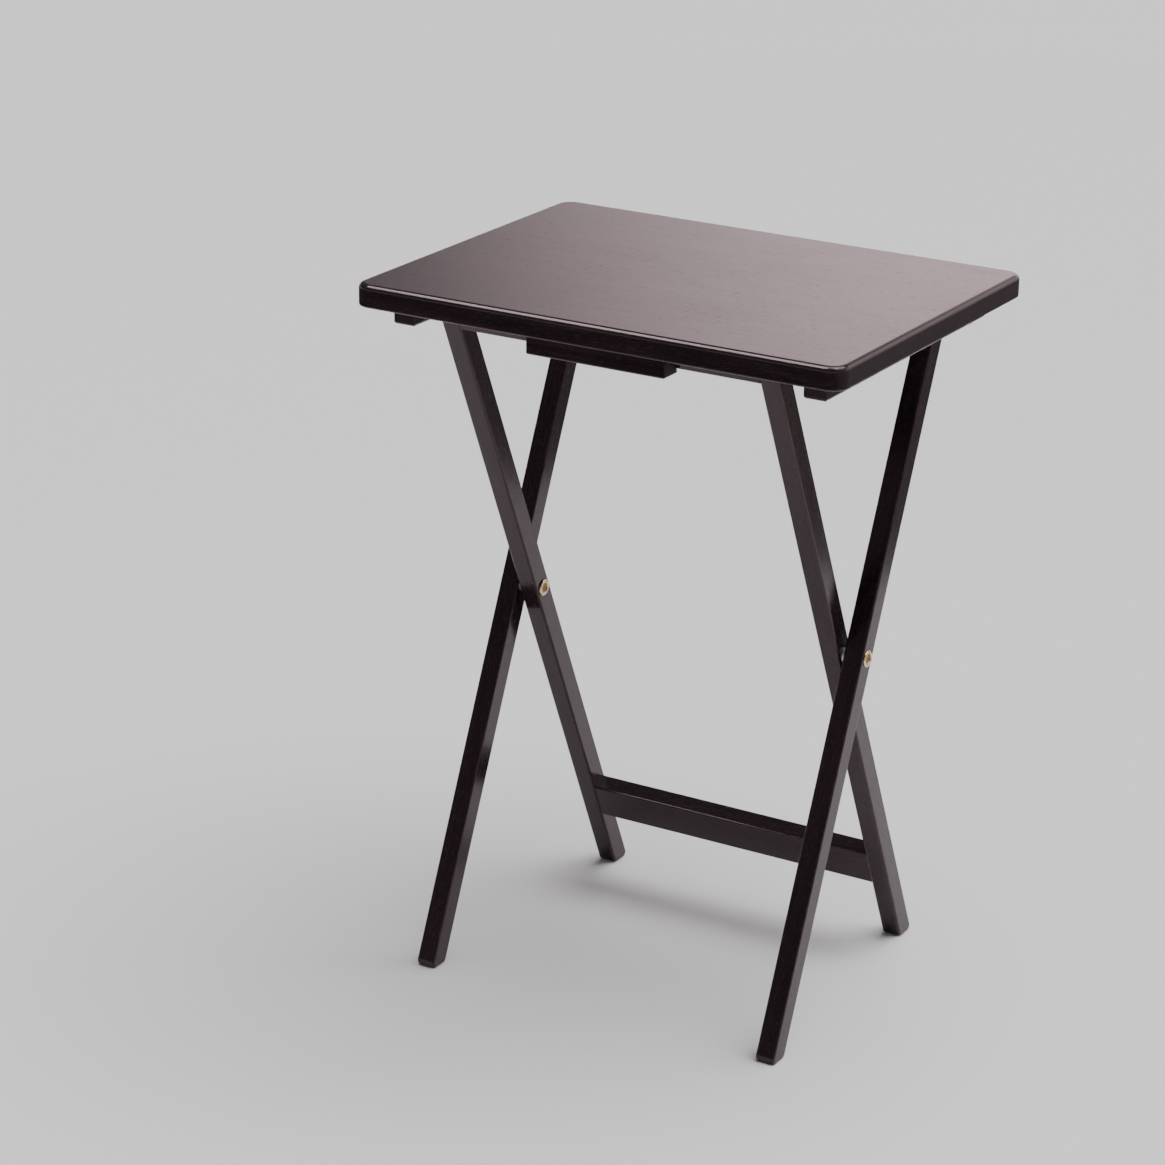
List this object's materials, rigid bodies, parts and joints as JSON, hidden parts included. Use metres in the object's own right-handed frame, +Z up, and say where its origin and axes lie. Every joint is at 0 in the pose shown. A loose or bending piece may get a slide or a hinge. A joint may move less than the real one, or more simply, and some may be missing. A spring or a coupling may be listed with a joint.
{
  "type": "folding tray table",
  "caption": "Free-standing folding tray table: a flat rounded tray on crossed wooden legs that pivot at their crossing and close flat, with the tray tilting as they fold.",
  "frame": {"origin": "on the floor, under the middle of the tray", "axes": "+Z up, X along the long side of the tray, -Y towards the front (the batten side)"},
  "size_m": [0.482, 0.362, 0.66],
  "materials": {
    "dark_wood": "dark brown-black stain under satin lacquer",
    "brass": "polished, lightly worn",
    "pale_wood": "bare birch",
    "steel": "zinc plated"
  },
  "bodies": {
    "outer_frame": {"left_outer_leg": "dark_wood", "right_outer_leg": "dark_wood", "hinge_rod": "dark_wood", "left_crossing_barrel": "brass", "right_crossing_barrel": "brass", "left_crossing_cap": "brass", "right_crossing_cap": "brass", "left_crossing_washer": "steel", "right_crossing_washer": "steel", "left_hinge_bolt": "steel", "right_hinge_bolt": "steel", "left_hinge_washer": "steel", "right_hinge_washer": "steel", "left_hinge_insert": "steel", "right_hinge_insert": "steel"},
    "inner_frame": {"left_inner_leg": "dark_wood", "right_inner_leg": "dark_wood", "top_rail": "dark_wood", "low_stretcher": "dark_wood", "top_rail_dowels": "pale_wood", "stretcher_dowels": "pale_wood"},
    "tray": {"tray_panel": "dark_wood", "left_cleat": "dark_wood", "right_cleat": "dark_wood", "front_batten": "dark_wood", "cleat_screws": "steel", "batten_screws": "steel"}
  },
  "joints": [
    {"name": "frame_fold", "type": "hinge", "parent": "outer_frame", "child": "inner_frame", "pos_m": [0, -0.0042, 0.3384], "axis": [-1, 0, 0], "range_deg": [0, 44.4]},
    {"name": "tray_tilt", "type": "hinge", "parent": "outer_frame", "child": "tray", "pos_m": [0, 0.1209, 0.6275], "axis": [-1, 0, 0], "range_deg": [0, 113]}
  ],
  "couplings": [
    {"joint": "tray_tilt", "follows": "frame_fold", "ratio": 2.54}
  ]
}
